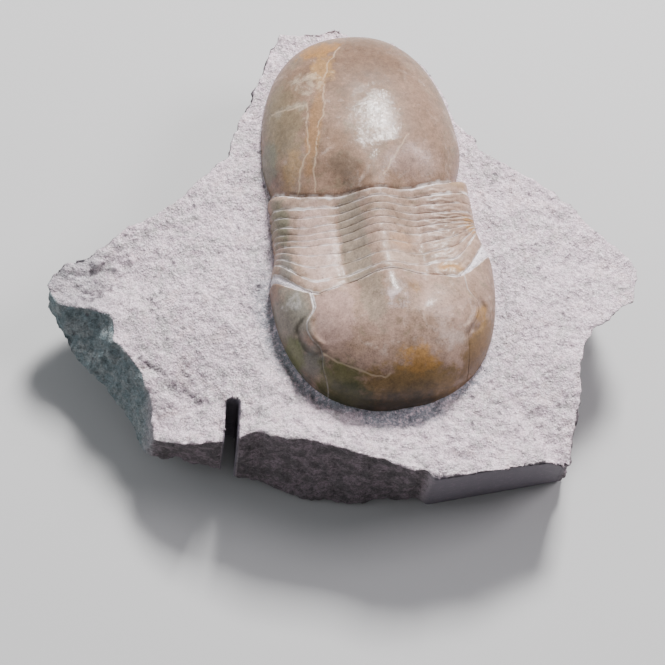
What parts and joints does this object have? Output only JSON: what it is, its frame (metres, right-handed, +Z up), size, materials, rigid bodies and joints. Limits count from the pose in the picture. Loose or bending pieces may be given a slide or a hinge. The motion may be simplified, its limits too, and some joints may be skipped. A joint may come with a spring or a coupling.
{
  "type": "trilobite fossil on limestone matrix",
  "caption": "Smooth, strongly domed trilobite fossil, whole and outstretched, on a chipped block of pale limestone with a flat sawn back that it lies on",
  "frame": {"origin": "centre of the bounding box, on the sawn back that the block lies on", "axes": "+X to the right across the animal and the long way of the block, +Y towards the animal's tail, +Z up out of the face that carries the animal"},
  "size_m": [0.105, 0.0862, 0.033],
  "materials": {
    "limestone": "rough, pecked and sawn limestone",
    "tail_plate": "satin calcite, beige with ochre streaks",
    "thorax_plates": "satin calcite, pale beige",
    "head_plates": "satin calcite, beige to amber and olive"
  },
  "bodies": {
    "root": {"matrix": "limestone", "pygidium": "tail_plate", "thorax_ring_01": "thorax_plates", "thorax_ring_02": "thorax_plates", "thorax_ring_03": "thorax_plates", "thorax_ring_04": "thorax_plates", "thorax_ring_05": "thorax_plates", "thorax_ring_06": "thorax_plates", "thorax_ring_07": "thorax_plates", "thorax_ring_08": "thorax_plates", "thorax_ring_09": "thorax_plates", "thorax_ring_10": "thorax_plates", "cranidium": "head_plates", "free_cheek_left": "head_plates", "free_cheek_right": "head_plates"}
  },
  "joints": []
}
